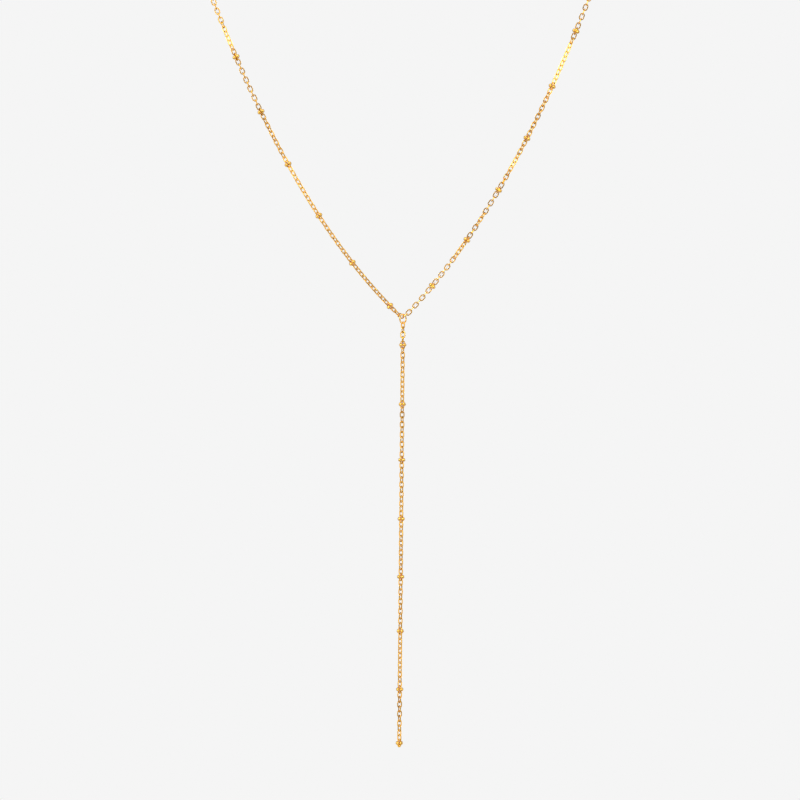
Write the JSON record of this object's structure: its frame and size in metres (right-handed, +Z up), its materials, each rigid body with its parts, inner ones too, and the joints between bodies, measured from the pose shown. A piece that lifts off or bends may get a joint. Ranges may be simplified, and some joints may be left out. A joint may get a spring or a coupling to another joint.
{
  "type": "necklace",
  "caption": "Y-shaped necklace of fine oval cable chain with clusters of small beads along it, a straight hanging drop on a jump ring at its lowest point, and a round clasp at the nape.",
  "frame": {"origin": "where the clasp rests on the nape, level with the middle of the clasp", "axes": "+Z up as worn, +Y out of the nape to the back, so the front chain and its drop hang at -Y; +X to the wearer's left"},
  "size_m": [0.115, 0.0844, 0.2459],
  "materials": {
    "gold": "polished yellow gold"
  },
  "bodies": {
    "root": {"neck_chain_left": "gold", "neck_chain_right": "gold", "drop_chain": "gold", "drop_ring": "gold", "left_beads_1": "gold", "left_beads_2": "gold", "left_beads_3": "gold", "left_beads_4": "gold", "left_beads_5": "gold", "left_beads_6": "gold", "left_beads_7": "gold", "right_beads_1": "gold", "right_beads_2": "gold", "right_beads_3": "gold", "right_beads_4": "gold", "right_beads_5": "gold", "right_beads_6": "gold", "drop_beads_1": "gold", "drop_beads_2": "gold", "drop_beads_3": "gold", "drop_beads_4": "gold", "drop_beads_5": "gold", "drop_beads_6": "gold", "drop_beads_7": "gold", "drop_beads_8": "gold", "back_chain_left": "gold", "back_chain_right": "gold", "clasp": "gold", "end_ring": "gold"}
  },
  "joints": []
}
